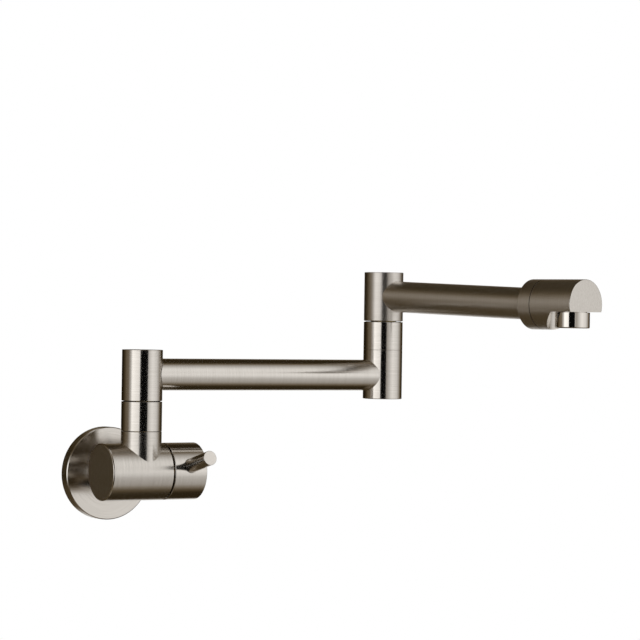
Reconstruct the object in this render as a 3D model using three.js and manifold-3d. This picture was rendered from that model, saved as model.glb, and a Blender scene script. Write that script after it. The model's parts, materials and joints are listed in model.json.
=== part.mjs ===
// Wall mounted pot filler: a valve body on the wall, and two tubular arms on two upright swivels.
// Millimetres, +Z up. The wall is the plane Y = 0 and the tap stands out towards -Y.
// The origin is the centre of the wall flange, on the wall. X = 0 is also the riser's middle.

import * as THREE from 'three';
import { mergeVertices } from 'three/addons/utils/BufferGeometryUtils.js';
import Module from 'manifold-3d';

const manifold = await Module();
manifold.setup();

// ---------------------------------------------------------------------------
// Driving dimensions

const clearance = 0.3;            // between pieces that sit on or in each other
const edgeBreak = 0.4;            // chamfer on turned outside edges

const wallToBarrel = 52.8;        // wall to the barrel's axis
const barrelLift = 3.5;           // wall inlet's axis up to the barrel's axis
const riserForward = 4.2;         // barrel's axis out to the riser's and the first swivel's axis
const columnRadius = 14;          // sleeves, collars and riser
const tubeRadius = 11;
const tubeWall = 2;

const flangeRadius = 32.5;
const flangeThickness = 8.5;
const flangeBevel = 1.1;
const flangeRimWidth = 2.7;       // ring that meets the wall
const flangeFaceWall = 2;
const flangeHubWall = 3.2;

const barrelRadius = 19.7;
const barrelLeft = 28.5;          // riser axis to the closed end
const barrelRight = 17.8;         // riser axis to the knob seam
const backWall = 5;               // closed end of the barrel
const riserTop = 28;              // above the barrel's axis
const neckRadius = 13.5;
const neckShort = 1.5;            // how far the neck stays back from the wall

const knobSeam = 1.3;
const knobLength = 24.7;
const knobCavityRadius = 16.4;
const knobCavityDepth = 6;
const knobEndWall = 4.5;
const leverRadius = 5;
const leverReach = 47;            // barrel axis to the lever's end
const leverRise = 13.9;           // degrees above level at rest
const leverSeat = 16.6;           // barrel axis to the flat that the lever stands on
const leverSpigotRadius = 2.7;
const leverSpigotLength = 9;
const setScrewRadius = 2;
const setScrewLength = 7;
const setScrewInset = 7.5;        // knob's end face to the set screw

const cartridgeRadius = 11.7;
const cartridgeNeckRadius = 10;
const cartridgeWall = 3.2;
const cartridgeSeat = 14;         // riser axis back to the cartridge's seat
const cartridgeShoulder = 8;      // riser axis to the shoulder under the nut
const cartridgeNose = 5.6;        // how far the cartridge stands out of the barrel
const nutThreadRadius = 15;
const nutHexRadius = 16;          // to the hexagon's corners
const nutHexHeight = 3.8;
const stemRadius = 4;
const stemInKnob = 14;
const discPlay = 0.4;             // round the ceramic discs in the cartridge
const discGap = 0.2;              // between the lapped faces of the discs
const discThickness = 3.4;
const discHoleRadius = 2.2;
const dogThickness = 2.5;         // foot of the stem, which drives the moving disc
const dogKeyWidth = 3;
const dogKeyHeight = 1.6;
const sealThickness = 1.4;
const sealWidth = 2.6;
const portRadius = 3;             // windows in the cartridge and cross holes in the pivots

const inletRadius = 10.2;
const inletBoreRadius = 6.5;
const inletGrip = 13.5;           // length held in the neck
const inletReach = 12;            // length standing into the wall
const inletWasherThickness = 1.5;
const filterThickness = 1.2;
const filterHoleRadius = 1;

const collarHeight = 20.1;
const swivelSeam = 0.6;           // open seam between collar and sleeve
const sleeveHeight = 35;
const armInSleeve = 18;           // sleeve's seam end to the arm's axis
const sleeveBoreRadius = 9.5;
const endSleeveFloor = 8;         // closed end of the sleeve under the second swivel
const capRadius = 11.9;
const capThickness = 2.8;
const nutThickness = 2.5;
const pivotBoreRadius = 5;
const pivotThreadRadius = 9;
const pivotThreadLength = 13;
const pivotFootRadius = 12.5;
const pivotFootHeight = 2.5;
const pivotTopRadius = 7;
const ringSection = 0.95;         // radius of an O-ring's section
const flangeRingSection = 0.85;
const stemRingSection = 0.65;
const ringGrooveHalf = 1.2;       // half the height of an O-ring's groove
const ringGrooveDepth = 1.6;
const slipRingWidth = 3.1;
const slipRingThickness = 1.2;
const spigotWall = 2.7;
const spigotLength = 10;          // how far the spigot stands into the tube

const armOneLength = 195;         // between the two swivel axes
const armTwoLength = 189.2;       // swivel axis to the head's end face
const armTwoTurn = -76;           // degrees, from arm one's direction to arm two's
const armTwoFall = 1.85;          // degrees that the second tube falls towards its head

const headRadius = 17.2;
const headLength = 46.8;
const headLineAt = 36;            // end face back to the fine line turned round the head
const headLineDepth = 0.4;
const headSocketDepth = 12;
const headBoreRadius = 4.5;
const headBoreLift = 5.2;         // water way's height above the head's axis
const notchDrop = 4.9;            // head's axis down to the flat over the aerator
const notchRadius = 17.3;
const aeratorRadius = 11.8;
const aeratorBoreRadius = 8.6;
const aeratorThreadRadius = 10;
const aeratorThreadLength = 3.6;
const aeratorChamfer = 0.8;
const aeratorInset = 1.2;         // aerator's lip above the lowest point of the head
const gasketBoreRadius = 6.2;
const gasketThickness = 1.3;
const insertHeight = 7;
const insertInset = 1.5;
const insertHoleRadius = 1.1;
const insertHoleRing = 5.2;

const fine = 36;                  // facets round the large turned pieces
const medium = 20;
const coarse = 12;
const coarsest = 8;               // small holes
const hexagonal = 6;

// ---------------------------------------------------------------------------
// Finishes

const brushedNickel = { color: 0xa9a49a, roughness: 0.32, metalness: 1 };
const brass = { color: 0xc2a25a, roughness: 0.38, metalness: 1 };
const stainless = { color: 0xb4b6b8, roughness: 0.3, metalness: 1 };
const blackRubber = { color: 0x1c1c1d, roughness: 0.8, metalness: 0 };
const blackPlastic = { color: 0x17171a, roughness: 0.45, metalness: 0 };
const whiteCeramic = { color: 0xe9e6df, roughness: 0.25, metalness: 0 };
const whitePlastic = { color: 0xdfe0de, roughness: 0.5, metalness: 0 };

// ---------------------------------------------------------------------------
// Solids

// A solid from a three.js geometry, with shared vertices merged and collapsed triangles left out.
function solid(geometry) {
  geometry.deleteAttribute('normal');
  geometry.deleteAttribute('uv');
  const merged = mergeVertices(geometry, 1e-5);
  const index = merged.index.array;
  const kept = [];
  for (let i = 0; i < index.length; i += 3) {
    const [a, b, c] = [index[i], index[i + 1], index[i + 2]];
    if (a !== b && b !== c && c !== a) kept.push(a, b, c);
  }
  return new manifold.Manifold(new manifold.Mesh({
    numProp: 3,
    vertProperties: new Float32Array(merged.attributes.position.array),
    triVerts: new Uint32Array(kept),
  }));
}

// Turned solid about Z. The profile lists [radius, height] pairs anticlockwise, so that the
// outside is walked upwards, and it starts and ends on the axis or closes on itself.
function turned(profile, facets = fine) {
  const points = profile.map(([radius, height]) => new THREE.Vector2(radius, height));
  return new THREE.LatheGeometry(points, facets).rotateX(Math.PI / 2);
}

// Turned ring, whose profile is closed back to its first point.
function turnedRing(profile, facets = fine) {
  return turned([...profile, profile[0]], facets);
}

function rod(radius, low, high, facets = fine) {
  const geometry = new THREE.CylinderGeometry(radius, radius, high - low, facets);
  return geometry.rotateX(Math.PI / 2).translate(0, 0, (low + high) / 2);
}

function washer(innerRadius, outerRadius, low, high, facets = medium) {
  return turnedRing([
    [innerRadius, low],
    [outerRadius, low],
    [outerRadius, high],
    [innerRadius, high],
  ], facets);
}

// O-ring about Z at one height, listed as a closed round section.
function oRing(ringRadius, sectionRadius, height) {
  const sides = 6;
  const section = [];
  for (let i = 0; i < sides; i += 1) {
    const angle = (2 * Math.PI * (i + 0.5)) / sides;
    section.push([
      ringRadius + sectionRadius * Math.cos(angle),
      height + sectionRadius * Math.sin(angle),
    ]);
  }
  return turnedRing(section, medium);
}

const alongX = (geometry) => geometry.rotateY(Math.PI / 2);
const towardsWall = (geometry) => geometry.rotateX(-Math.PI / 2);

// Named mesh of one piece, from a turned geometry or from a solid.
function piece(name, shape, finish) {
  const mesh = (shape.isBufferGeometry ? solid(shape) : shape).getMesh();
  const geometry = new THREE.BufferGeometry();
  geometry.setAttribute('position', new THREE.BufferAttribute(mesh.vertProperties, 3));
  geometry.setIndex(new THREE.BufferAttribute(mesh.triVerts, 1));
  geometry.computeVertexNormals();
  const result = new THREE.Mesh(geometry, new THREE.MeshStandardMaterial(finish));
  result.name = name;
  return result;
}

const radians = THREE.MathUtils.degToRad;

// Plain turned bar along Z with both edges broken.
function turnedBar(radius, low, high) {
  return turned([
    [0, low],
    [radius - edgeBreak, low],
    [radius, low + edgeBreak],
    [radius, high - edgeBreak],
    [radius - edgeBreak, high],
    [0, high],
  ]);
}

// ---------------------------------------------------------------------------
// Wall end: flange, threaded inlet and its seals. Z is the distance from the wall.

const hubRadius = neckRadius + clearance;
const flangeRingHeight = 3.6;     // wall to the O-ring that grips the neck
const neckGrooveRadius = neckRadius - ringGrooveDepth;

function makeFlange() {
  const faceBack = flangeThickness - flangeFaceWall;
  return turnedRing([
    [flangeRadius - flangeRimWidth, 0],
    [flangeRadius, 0],
    [flangeRadius, flangeThickness - flangeBevel],
    [flangeRadius - flangeBevel, flangeThickness],
    [hubRadius, flangeThickness],
    [hubRadius, neckShort],
    [hubRadius + flangeHubWall, neckShort],
    [hubRadius + flangeHubWall, faceBack],
    [flangeRadius - flangeRimWidth, faceBack],
  ], fine + 12);
}

const inletEnd = neckShort + inletGrip;

function makeInletNipple() {
  return washer(inletBoreRadius, inletRadius, -inletReach, inletEnd);
}

function makeInletFilter() {
  const radius = inletBoreRadius - clearance;
  const low = inletEnd - filterThickness;
  const ring = radius * 0.6;
  const hole = (x, y) => rod(filterHoleRadius, low - 1, inletEnd + 1, coarsest).translate(x, y, 0);
  const holes = [hole(0, 0)];
  for (let i = 0; i < 6; i += 1) {
    const angle = (Math.PI * i) / 3;
    holes.push(hole(ring * Math.cos(angle), ring * Math.sin(angle)));
  }
  const disc = solid(rod(radius, low, inletEnd, coarse));
  return holes.reduce((rest, one) => rest.subtract(solid(one)), disc);
}

const inletWasherLow = inletEnd + clearance;
const inletSocketEnd = inletWasherLow + inletWasherThickness + clearance;

const wallEnd = new THREE.Group();
wallEnd.rotation.x = Math.PI / 2;
wallEnd.add(
  piece('wall_flange', makeFlange(), brushedNickel),
  piece('flange_o_ring', oRing((neckGrooveRadius + hubRadius) / 2, flangeRingSection,
    flangeRingHeight), blackRubber),
  piece('inlet_nipple', makeInletNipple(), brass),
  piece('inlet_filter', makeInletFilter(), stainless),
  piece('inlet_washer', washer(inletBoreRadius, inletRadius, inletWasherLow,
    inletWasherLow + inletWasherThickness), blackRubber),
);

// ---------------------------------------------------------------------------
// Valve body: barrel along X, riser up Z and neck back to the wall. Its own origin is on
// the barrel's axis, right behind the riser, which stands almost flush with the barrel's front.

const cartridgeBoreRadius = cartridgeRadius + clearance;
const socketRadius = pivotThreadRadius + clearance;
const socketDepth = pivotThreadLength + 1;
const backChamberRadius = 15.5;   // chamber behind the cartridge
const backChamberLength = 6;
const seatHoleRadius = 7.5;
const sidePassageRadius = 2.2;    // cored way from the neck to the back chamber
const sidePassageOffset = 15.4;
const riserWaterRadius = 5.5;

function makeValveBody() {
  const inletSocketLow = wallToBarrel - inletSocketEnd;
  const backLow = -barrelLeft + backWall;
  const grooveAt = wallToBarrel - flangeRingHeight;
  const groove = washer(neckGrooveRadius, neckRadius + 1, grooveAt - ringGrooveHalf,
    grooveAt + ringGrooveHalf);
  const inRiser = (geometry) => geometry.translate(0, -riserForward, 0);
  const inNeck = (geometry) => towardsWall(geometry).translate(0, 0, -barrelLift);
  const cuts = [
    alongX(rod(nutThreadRadius + clearance, cartridgeShoulder, barrelRight + 1)),
    alongX(rod(cartridgeBoreRadius, -cartridgeSeat, cartridgeShoulder + 1, medium)),
    alongX(rod(seatHoleRadius, backLow + 1, -cartridgeSeat + 1, medium)),
    alongX(rod(backChamberRadius, backLow, backLow + backChamberLength, medium)),
    alongX(rod(sidePassageRadius, backLow + 1, 1, coarse)).translate(0, sidePassageOffset, 0),
    inRiser(rod(socketRadius, riserTop - socketDepth, riserTop + 1, medium)),
    inRiser(rod(riserWaterRadius, 0, riserTop - socketDepth + 1, medium)),
    inNeck(rod(inletRadius + clearance, inletSocketLow, wallToBarrel, medium)),
    inNeck(rod(inletBoreRadius, sidePassageOffset - sidePassageRadius, inletSocketLow + 1, medium)),
    inNeck(groove),
  ];
  const outside = solid(alongX(turnedBar(barrelRadius, -barrelLeft, barrelRight)))
    .add(solid(inRiser(turnedBar(columnRadius, 0, riserTop))))
    .add(solid(inNeck(rod(neckRadius, 0, wallToBarrel - neckShort))));
  return cuts.reduce((body, cut) => body.subtract(solid(cut)), outside);
}

// ---------------------------------------------------------------------------
// Quarter-turn cartridge, along X inside the barrel

const cartridgeEnd = barrelRight + cartridgeNose;
const stemBoreRadius = stemRadius + clearance;
const cartridgeInnerRadius = cartridgeRadius - cartridgeWall;
const discRadius = cartridgeInnerRadius - discPlay;
const cartridgeLow = -cartridgeSeat + clearance;
const fixedDiscLow = cartridgeLow + sealThickness + clearance;
const movingDiscLow = fixedDiscLow + discThickness + discGap;
const dogLow = movingDiscLow + discThickness + discGap;
const innerEnd = cartridgeShoulder - 2;         // end of the cartridge's hollow
const stemRingAt = (innerEnd + cartridgeEnd) / 2;
const stemGrooveRadius = stemRadius - 1.2;

function makeCartridgeBody() {
  const waterGrooveDepth = 1.4;
  const waterGrooveHalf = portRadius + 1.6;
  const body = solid(turnedRing([
    [cartridgeInnerRadius, cartridgeLow],
    [cartridgeRadius, cartridgeLow],
    [cartridgeRadius, -waterGrooveHalf],
    [cartridgeRadius - waterGrooveDepth, -waterGrooveHalf],
    [cartridgeRadius - waterGrooveDepth, waterGrooveHalf],
    [cartridgeRadius, waterGrooveHalf],
    [cartridgeRadius, cartridgeShoulder - clearance],
    [cartridgeNeckRadius, cartridgeShoulder - clearance],
    [cartridgeNeckRadius, cartridgeEnd],
    [stemBoreRadius, cartridgeEnd],
    [stemBoreRadius, innerEnd],
    [cartridgeInnerRadius, innerEnd],
  ], medium));
  const window = () => rod(portRadius, -cartridgeRadius - 1, cartridgeRadius + 1, coarse);
  const windows = solid(window()).add(solid(towardsWall(window())));
  const shape = body.subtract(windows.rotate([0, 0, 45]));
  return shape.rotate([0, 90, 0]);
}

function makeFixedDisc() {
  const disc = solid(rod(discRadius, fixedDiscLow, fixedDiscLow + discThickness, medium));
  const hole = () => rod(discHoleRadius, fixedDiscLow - 1, fixedDiscLow + discThickness + 1,
    coarse);
  return disc
    .subtract(solid(hole().translate(discRadius / 2, 0, 0)))
    .subtract(solid(hole().translate(-discRadius / 2, 0, 0)));
}

function makeMovingDisc() {
  const top = movingDiscLow + discThickness;
  const disc = solid(rod(discRadius, movingDiscLow, top, medium));
  const notch = () => rod(discHoleRadius, movingDiscLow - 1, top + 1, coarse);
  const slot = new THREE.BoxGeometry(dogKeyWidth + 2 * clearance, discRadius + 2 * clearance,
    dogKeyHeight + 2 * clearance + 2 * discGap);
  return disc
    .subtract(solid(notch().translate(0, discRadius / 2 + 1, 0)))
    .subtract(solid(notch().translate(0, -discRadius / 2 - 1, 0)))
    .subtract(solid(slot.rotateZ(Math.PI / 2).translate(0, 0, top)));
}

function makeStem() {
  const top = barrelRight + knobSeam + knobCavityDepth + stemInKnob;
  const dogRadius = discRadius - 2;
  const shaft = solid(turned([
    [0, dogLow],
    [dogRadius, dogLow],
    [dogRadius, dogLow + dogThickness],
    [stemRadius, dogLow + dogThickness],
    [stemRadius, stemRingAt - ringSection],
    [stemGrooveRadius, stemRingAt - ringSection],
    [stemGrooveRadius, stemRingAt + ringSection],
    [stemRadius, stemRingAt + ringSection],
    [stemRadius, top],
    [0, top],
  ], medium));
  const key = new THREE.BoxGeometry(discRadius, dogKeyWidth, dogKeyHeight).translate(0, 0, dogLow);
  return shaft.add(solid(key));
}

const nutLow = cartridgeShoulder + clearance;
const nutThreadTop = barrelRight + clearance;

function makeCartridgeNut() {
  const threaded = solid(rod(nutThreadRadius, nutLow, nutThreadTop));
  const hexagon = solid(rod(nutHexRadius, nutThreadTop - 0.1, nutThreadTop + nutHexHeight,
    hexagonal));
  const bore = solid(rod(cartridgeNeckRadius + clearance, nutLow - 1, cartridgeEnd + 1));
  return threaded.add(hexagon).subtract(bore);
}

const cartridge = new THREE.Group();
cartridge.rotation.y = Math.PI / 2;
cartridge.add(
  piece('cartridge_seal', washer(discRadius - sealWidth, discRadius, cartridgeLow,
    cartridgeLow + sealThickness), blackRubber),
  piece('ceramic_disc_fixed', makeFixedDisc(), whiteCeramic),
  piece('cartridge_nut', makeCartridgeNut(), brass),
);

// ---------------------------------------------------------------------------
// Knob, lever and what turns with them

const knobLow = barrelRight + knobSeam;
const knobHigh = knobLow + knobLength;
const leverAt = (knobLow + knobHigh) / 2;
const setScrewAt = knobHigh - setScrewInset;
const setScrewLow = stemRadius + 0.5;

// Turns a piece built up Z so that it lies along the lever.
const alongLever = (shape) => shape.rotate([90 - leverRise, 0, 0]);
const againstLever = (shape) => shape.rotate([270 - leverRise, 0, 0]);

function makeKnob() {
  const cavityEnd = knobLow + knobCavityDepth;
  const outside = solid(alongX(turnedBar(barrelRadius, knobLow, knobHigh)));
  const cavity = solid(alongX(rod(knobCavityRadius, knobLow - 1, cavityEnd)));
  const stemBore = solid(alongX(rod(stemBoreRadius, knobLow, knobHigh - knobEndWall + clearance,
    medium)));
  const seat = alongLever(solid(rod(leverRadius + clearance, leverSeat, barrelRadius + 2, medium)));
  const thread = alongLever(solid(rod(leverSpigotRadius + clearance,
    leverSeat - leverSpigotLength - clearance, leverSeat + 1, coarse)));
  const screwHole = againstLever(solid(rod(setScrewRadius + clearance, 0, barrelRadius + 2,
    coarse)));
  return outside
    .subtract(cavity)
    .subtract(stemBore)
    .subtract(seat.translate([leverAt, 0, 0]))
    .subtract(thread.translate([leverAt, 0, 0]))
    .subtract(screwHole.translate([setScrewAt, 0, 0]));
}

function makeLever() {
  const low = leverSeat + clearance;
  return alongLever(solid(turned([
    [0, leverSeat - leverSpigotLength],
    [leverSpigotRadius, leverSeat - leverSpigotLength],
    [leverSpigotRadius, low],
    [leverRadius, low],
    [leverRadius, leverReach - edgeBreak],
    [leverRadius - edgeBreak, leverReach],
    [0, leverReach],
  ], medium))).translate([leverAt, 0, 0]);
}

function makeSetScrew() {
  const top = setScrewLow + setScrewLength;
  const screw = solid(rod(setScrewRadius, setScrewLow, top, coarse));
  const keyHole = solid(rod(setScrewRadius * 0.6, top - 2, top + 1, hexagonal));
  return againstLever(screw.subtract(keyHole)).translate([setScrewAt, 0, 0]);
}

const knobTrain = new THREE.Group();
const stemTrain = new THREE.Group();
stemTrain.rotation.y = Math.PI / 2;
stemTrain.add(
  piece('cartridge_stem', makeStem(), brass),
  piece('stem_o_ring', oRing((stemGrooveRadius + stemBoreRadius) / 2, stemRingSection,
    stemRingAt), blackRubber),
  piece('ceramic_disc_moving', makeMovingDisc(), whiteCeramic),
);
knobTrain.add(
  piece('knob_shell', makeKnob(), brushedNickel),
  piece('lever_pin', makeLever(), brushedNickel),
  piece('knob_set_screw', makeSetScrew(), stainless),
  stemTrain,
);

// ---------------------------------------------------------------------------
// Swivels. Z = 0 is the open seam's upper edge, where the turning sleeve begins.

const collarLow = -swivelSeam - collarHeight;
const seatBelow = collarLow - clearance;        // top of the riser or of the lower sleeve
const pivotRadius = sleeveBoreRadius - clearance;
const capBoreRadius = capRadius + clearance;
const nutLevel = sleeveHeight - capThickness - 2 * clearance - nutThickness;
const shoulderLevel = nutLevel - clearance;
const pivotTop = nutLevel + nutThickness;
const grooveRadius = pivotRadius - ringGrooveDepth - clearance;
const waistHalf = portRadius + 1.9;
const ringBelow = 8;
const ringAbove = shoulderLevel - 2.5;
const ringGap = sleeveBoreRadius - 0.15;
const slipLow = -swivelSeam - slipRingThickness + clearance;
const slipRingBore = sleeveBoreRadius + clearance;
const slipRingRadius = slipRingBore + slipRingWidth;

function makeCollar() {
  const footRadius = pivotFootRadius + clearance;
  const footTop = seatBelow + pivotFootHeight + 2 * clearance;
  const recessFloor = -swivelSeam - slipRingThickness;
  const recessRadius = slipRingRadius + clearance;
  return turnedRing([
    [footRadius, collarLow],
    [columnRadius - edgeBreak, collarLow],
    [columnRadius, collarLow + edgeBreak],
    [columnRadius, -swivelSeam - edgeBreak],
    [columnRadius - edgeBreak, -swivelSeam],
    [recessRadius, -swivelSeam],
    [recessRadius, recessFloor],
    [sleeveBoreRadius, recessFloor],
    [sleeveBoreRadius, footTop],
    [footRadius, footTop],
  ]);
}

// Hollow pivot: thread, foot, two O-ring grooves, a waist with cross holes, and a threaded top.
function makePivot() {
  const footLow = seatBelow + clearance;
  const groove = (level) => [
    [pivotRadius, level - ringGrooveHalf],
    [grooveRadius, level - ringGrooveHalf],
    [grooveRadius, level + ringGrooveHalf],
    [pivotRadius, level + ringGrooveHalf],
  ];
  const post = solid(turned([
    [0, armInSleeve + waistHalf],
    [pivotBoreRadius, armInSleeve + waistHalf],
    [pivotBoreRadius, seatBelow - pivotThreadLength],
    [pivotThreadRadius, seatBelow - pivotThreadLength],
    [pivotThreadRadius, footLow],
    [pivotFootRadius, footLow],
    [pivotFootRadius, footLow + pivotFootHeight],
    [pivotRadius, footLow + pivotFootHeight],
    ...groove(ringBelow),
    [pivotRadius, armInSleeve - waistHalf],
    [grooveRadius, armInSleeve - waistHalf],
    [grooveRadius, armInSleeve + waistHalf],
    [pivotRadius, armInSleeve + waistHalf],
    ...groove(ringAbove),
    [pivotRadius, shoulderLevel - clearance],
    [pivotTopRadius, shoulderLevel - clearance],
    [pivotTopRadius, pivotTop],
    [0, pivotTop],
  ], medium));
  const hole = () => rod(portRadius, -sleeveBoreRadius, sleeveBoreRadius, coarse);
  const holes = solid(towardsWall(hole())).add(solid(alongX(hole())));
  return post.subtract(holes.translate([0, 0, armInSleeve]));
}

function makeRetainingNut() {
  const hexagon = solid(rod(capRadius, nutLevel, pivotTop, hexagonal));
  return hexagon.subtract(solid(rod(pivotTopRadius + clearance, nutLevel - 1, pivotTop + 1,
    medium)));
}

function makeCap() {
  const low = sleeveHeight - capThickness;
  const capEdge = edgeBreak / 2;
  return turned([
    [0, low],
    [capRadius, low],
    [capRadius, sleeveHeight - capEdge],
    [capRadius - capEdge, sleeveHeight],
    [0, sleeveHeight],
  ]);
}

// Spigot that the arm's tube slides over, along X, with its water way cut by the caller.
function spigotRod(radius, low, high, fall) {
  return solid(alongX(rod(radius, low, high, medium))).rotate([0, fall, 0]);
}

const spigotRadius = tubeRadius - tubeWall - clearance;
const spigotBoreRadius = spigotRadius - spigotWall;
const spigotEnd = columnRadius + spigotLength;

function withSpigot(sleeve, bore, fall) {
  const outer = spigotRod(spigotRadius, sleeveBoreRadius - 1, spigotEnd, fall);
  const water = spigotRod(spigotBoreRadius, 0, spigotEnd + 1, fall);
  const shift = [0, 0, armInSleeve];
  return sleeve.add(outer.translate(shift)).subtract(bore).subtract(water.translate(shift));
}

// Turning sleeve, open at its seam end, with the cap's and the nut's recess at the other.
function makeSleeve(fall) {
  const bore = solid(rod(sleeveBoreRadius, -1, shoulderLevel + 1, medium));
  const recess = solid(rod(capBoreRadius, shoulderLevel, sleeveHeight + 1));
  return withSpigot(solid(turnedBar(columnRadius, 0, sleeveHeight)), bore.add(recess), fall);
}

// Fixed sleeve at the far end of arm one, closed at its free end and threaded for the next pivot.
function makeEndSleeve() {
  const bore = solid(rod(socketRadius, -1, sleeveHeight - endSleeveFloor, medium));
  return withSpigot(solid(turnedBar(columnRadius, 0, sleeveHeight)), bore, 0);
}

function pivotPieces(number) {
  return [
    piece(`collar_${number}`, makeCollar(), brushedNickel),
    piece(`pivot_post_${number}`, makePivot(), brass),
    piece(`bearing_washer_${number}`, washer(slipRingBore, slipRingRadius, slipLow,
      slipLow + slipRingThickness), blackPlastic),
    piece(`o_ring_${number}a`, oRing((grooveRadius + ringGap) / 2, ringSection, ringBelow),
      blackRubber),
    piece(`o_ring_${number}b`, oRing((grooveRadius + ringGap) / 2, ringSection, ringAbove),
      blackRubber),
    piece(`retaining_nut_${number}`, makeRetainingNut(), brass),
  ];
}

const sleeveOneLow = riserTop - seatBelow;
const armOneHeight = sleeveOneLow + armInSleeve;
const endSleeveTop = armOneHeight + armInSleeve;
const sleeveThreeLow = endSleeveTop - seatBelow;

// ---------------------------------------------------------------------------
// Arms. A tube is coped over the sleeve that it meets.

const tubeBoreRadius = tubeRadius - tubeWall;
const cope = () => solid(rod(columnRadius + clearance, -sleeveHeight, 2 * sleeveHeight));

function hollowTube(low, high) {
  return solid(alongX(washer(tubeBoreRadius, tubeRadius, low, high, fine)));
}

function makeArmOne() {
  return hollowTube(columnRadius / 2, armOneLength - columnRadius / 2)
    .translate([0, 0, armInSleeve])
    .subtract(cope())
    .subtract(cope().translate([armOneLength, 0, 0]));
}

const headLow = armTwoLength - headLength;
const socketEnd = headLow + headSocketDepth;
const tubeTwoEnd = socketEnd - clearance;
const headHeight = armInSleeve - Math.tan(radians(armTwoFall)) * (headLow + headSocketDepth / 2);

function makeArmTwo() {
  return hollowTube(columnRadius / 2, tubeTwoEnd)
    .rotate([0, armTwoFall, 0])
    .translate([0, 0, armInSleeve])
    .subtract(cope());
}

// ---------------------------------------------------------------------------
// Spout head: level, though its tube falls, with a flat and a round pocket cut away below
// for the aerator. X is the distance from the second swivel's axis.

const aeratorAt = armTwoLength - aeratorRadius;
const aeratorSocketRadius = aeratorThreadRadius + clearance;
const aeratorTop = -notchDrop + aeratorThreadLength;
const aeratorLow = -headRadius + aeratorInset;
const aeratorFlange = -notchDrop - clearance;
const gasketLow = aeratorTop + clearance;

function makeHead() {
  const lineAt = armTwoLength - headLineAt;
  const outside = solid(alongX(turned([
    [0, headLow],
    [headRadius - edgeBreak, headLow],
    [headRadius, headLow + edgeBreak],
    [headRadius, lineAt - headLineDepth],
    [headRadius - headLineDepth, lineAt],
    [headRadius, lineAt + headLineDepth],
    [headRadius, armTwoLength - edgeBreak],
    [headRadius - edgeBreak, armTwoLength],
    [0, armTwoLength],
  ], fine)));
  const socket = solid(alongX(rod(tubeRadius + clearance, 0, socketEnd)))
    .rotate([0, armTwoFall, 0])
    .translate([0, 0, armInSleeve - headHeight]);
  const water = solid(alongX(rod(headBoreRadius, socketEnd - 1, aeratorAt + headBoreRadius,
    medium))).translate([0, 0, headBoreLift]);
  const pocket = solid(rod(notchRadius, -headRadius - 2, -notchDrop));
  const mouth = new THREE.BoxGeometry(2 * notchRadius, 2 * notchRadius, headRadius + 2 - notchDrop);
  mouth.translate(notchRadius, 0, -(headRadius + 2 + notchDrop) / 2);
  const gasketTop = gasketLow + gasketThickness + clearance;
  const aeratorSocket = solid(rod(aeratorSocketRadius, -headRadius, gasketTop, medium));
  const drop = solid(rod(gasketBoreRadius, 0, headBoreLift, medium));
  const below = pocket.add(solid(mouth)).add(aeratorSocket).add(drop);
  return outside
    .subtract(socket)
    .subtract(water)
    .subtract(below.translate([aeratorAt, 0, 0]));
}

function makeAeratorHousing() {
  return turnedRing([
    [aeratorBoreRadius, aeratorLow],
    [aeratorRadius - aeratorChamfer, aeratorLow],
    [aeratorRadius, aeratorLow + aeratorChamfer],
    [aeratorRadius, aeratorFlange],
    [aeratorThreadRadius, aeratorFlange],
    [aeratorThreadRadius, aeratorTop],
    [aeratorBoreRadius, aeratorTop],
  ]);
}

function makeAeratorInsert() {
  const low = aeratorLow + insertInset;
  const top = low + insertHeight;
  const hole = (x, y) => rod(insertHoleRadius, low - 1, top + 1, coarsest).translate(x, y, 0);
  const holes = [hole(0, 0)];
  for (let i = 0; i < 8; i += 1) {
    const angle = (Math.PI * i) / 4;
    holes.push(hole(insertHoleRing * Math.cos(angle), insertHoleRing * Math.sin(angle)));
  }
  const insert = solid(rod(aeratorBoreRadius - clearance, low, top, medium));
  return holes.reduce((rest, one) => rest.subtract(solid(one)), insert);
}

const head = new THREE.Group();
head.position.z = headHeight;
const aerator = new THREE.Group();
aerator.position.x = aeratorAt;
aerator.add(
  piece('aerator_housing', makeAeratorHousing(), stainless),
  piece('aerator_insert', makeAeratorInsert(), whitePlastic),
  piece('aerator_gasket', washer(gasketBoreRadius, aeratorThreadRadius, gasketLow,
    gasketLow + gasketThickness), blackRubber),
);
head.add(piece('spout_head', makeHead(), brushedNickel), aerator);

// ---------------------------------------------------------------------------
// Assembly

const valve = new THREE.Group();
valve.add(
  piece('valve_body', makeValveBody(), brushedNickel),
  piece('cartridge_body', makeCartridgeBody(), brass),
  cartridge,
  knobTrain,
);

const swivelOne = new THREE.Group();
swivelOne.position.set(0, -riserForward, sleeveOneLow);
swivelOne.add(
  ...pivotPieces(1),
  piece('carrier_1', makeSleeve(0), brushedNickel),
  piece('top_cap_1', makeCap(), brushedNickel),
  piece('arm_tube_1', makeArmOne(), brushedNickel),
);

const endSleeve = piece('carrier_2', makeEndSleeve(), brushedNickel);
endSleeve.position.set(armOneLength, -riserForward, endSleeveTop);
endSleeve.rotation.set(Math.PI, 0, Math.PI);

const swivelTwo = new THREE.Group();
swivelTwo.position.set(armOneLength, -riserForward, sleeveThreeLow);
swivelTwo.rotation.z = radians(armTwoTurn);
swivelTwo.add(
  ...pivotPieces(2),
  piece('carrier_3', makeSleeve(armTwoFall), brushedNickel),
  piece('top_cap_2', makeCap(), brushedNickel),
  piece('arm_tube_2', makeArmTwo(), brushedNickel),
  head,
);

const tap = new THREE.Group();
tap.position.set(0, -wallToBarrel, barrelLift);
tap.add(valve, swivelOne, endSleeve, swivelTwo);

const potFiller = new THREE.Group();
potFiller.add(wallEnd, tap);

export default potFiller;
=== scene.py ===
import json
import math

import bmesh
import bpy
from mathutils import Matrix, Quaternion, Vector


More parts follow.
